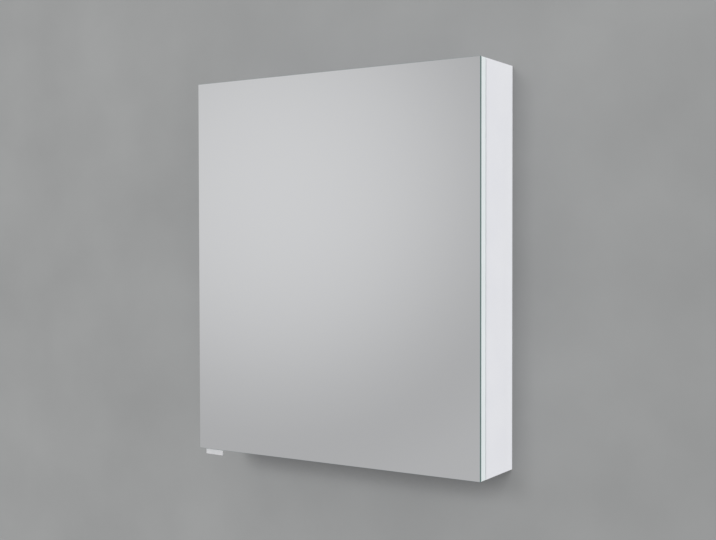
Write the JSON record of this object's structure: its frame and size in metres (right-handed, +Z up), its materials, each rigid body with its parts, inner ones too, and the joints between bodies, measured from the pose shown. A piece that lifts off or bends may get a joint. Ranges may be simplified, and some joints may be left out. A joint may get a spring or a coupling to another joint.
{
  "type": "mirror cabinet",
  "caption": "Wall-hung cabinet with a full-overlay mirror door on concealed cup hinges, glass shelves and a hook-on wall rail.",
  "frame": {"origin": "on the wall plane, midway between the two screw holes of the wall rail", "axes": "+X to the right as seen from the room, +Y into the wall, +Z up"},
  "size_m": [0.6, 0.126, 0.71],
  "materials": {
    "white_lacquer": "satin white lacquer on fibreboard",
    "white_board": "white melamine faced board",
    "edge_band": "smooth pale edge band",
    "silvered_glass": "silvered float glass with ground edges",
    "clear_glass": "clear float glass with polished edges",
    "nickel_steel": "nickel plated",
    "zinc_steel": "zinc plated",
    "anodised_aluminium": "satin anodised",
    "white_plastic": "moulded white plastic",
    "soft_bumper": "soft clear-grey disc",
    "beech": "fluted beech"
  },
  "bodies": {
    "cabinet": {"left_side_panel": "white_lacquer", "right_side_panel": "white_lacquer", "top_panel": "white_lacquer", "bottom_panel": "white_lacquer", "back_panel": "white_lacquer", "carcass_dowels": "beech", "wall_rail": "zinc_steel", "hanger_housing_left": "white_plastic", "hanger_housing_right": "white_plastic", "hanger_hook_left": "zinc_steel", "hanger_hook_right": "zinc_steel", "hanger_fixing_screws": "zinc_steel", "hanger_adjusting_screws": "zinc_steel", "upper_glass_shelf": "clear_glass", "lower_glass_shelf": "clear_glass", "upper_shelf_pins": "nickel_steel", "lower_shelf_pins": "nickel_steel", "hinge_plate_upper": "nickel_steel", "hinge_plate_lower": "nickel_steel", "hinge_plate_screws": "nickel_steel", "hinge_arm_upper": "nickel_steel", "hinge_arm_lower": "nickel_steel", "hinge_arm_screws": "nickel_steel", "hinge_arm_pins": "nickel_steel", "door_bumpers": "soft_bumper"},
    "outer_links": {"outer_link_upper": "nickel_steel", "outer_link_lower": "nickel_steel"},
    "door": {"door_board": "white_board", "door_edge_band_left": "edge_band", "door_edge_band_right": "edge_band", "door_edge_band_top": "edge_band", "door_edge_band_bottom": "edge_band", "front_mirror": "silvered_glass", "rear_mirror": "silvered_glass", "finger_grip": "anodised_aluminium", "grip_screws": "zinc_steel", "hinge_cup_upper": "nickel_steel", "hinge_cup_lower": "nickel_steel", "hinge_cup_pins": "nickel_steel", "hinge_cup_screws": "nickel_steel"},
    "inner_links": {"inner_link_upper": "nickel_steel", "inner_link_lower": "nickel_steel"}
  },
  "joints": [
    {"name": "outer_link_swing", "type": "hinge", "parent": "cabinet", "child": "outer_links", "pos_m": [0.259, -0.09275, -0.305], "axis": [0, 0, 1], "range_deg": [-29.5, 0]},
    {"name": "door_swing", "type": "hinge", "parent": "outer_links", "child": "door", "pos_m": [0.2878, -0.1073, -0.305], "axis": [0, 0, 1], "range_deg": [0, 119.43]},
    {"name": "inner_link_swing", "type": "hinge", "parent": "door", "child": "inner_links", "pos_m": [0.287, -0.1112, -0.305], "axis": [0, 0, 1], "range_deg": [-110, 0]}
  ],
  "couplings": [
    {"joint": "outer_link_swing", "follows": "door_swing", "ratio": -0.24642},
    {"joint": "inner_link_swing", "follows": "door_swing", "ratio": -0.91937}
  ]
}
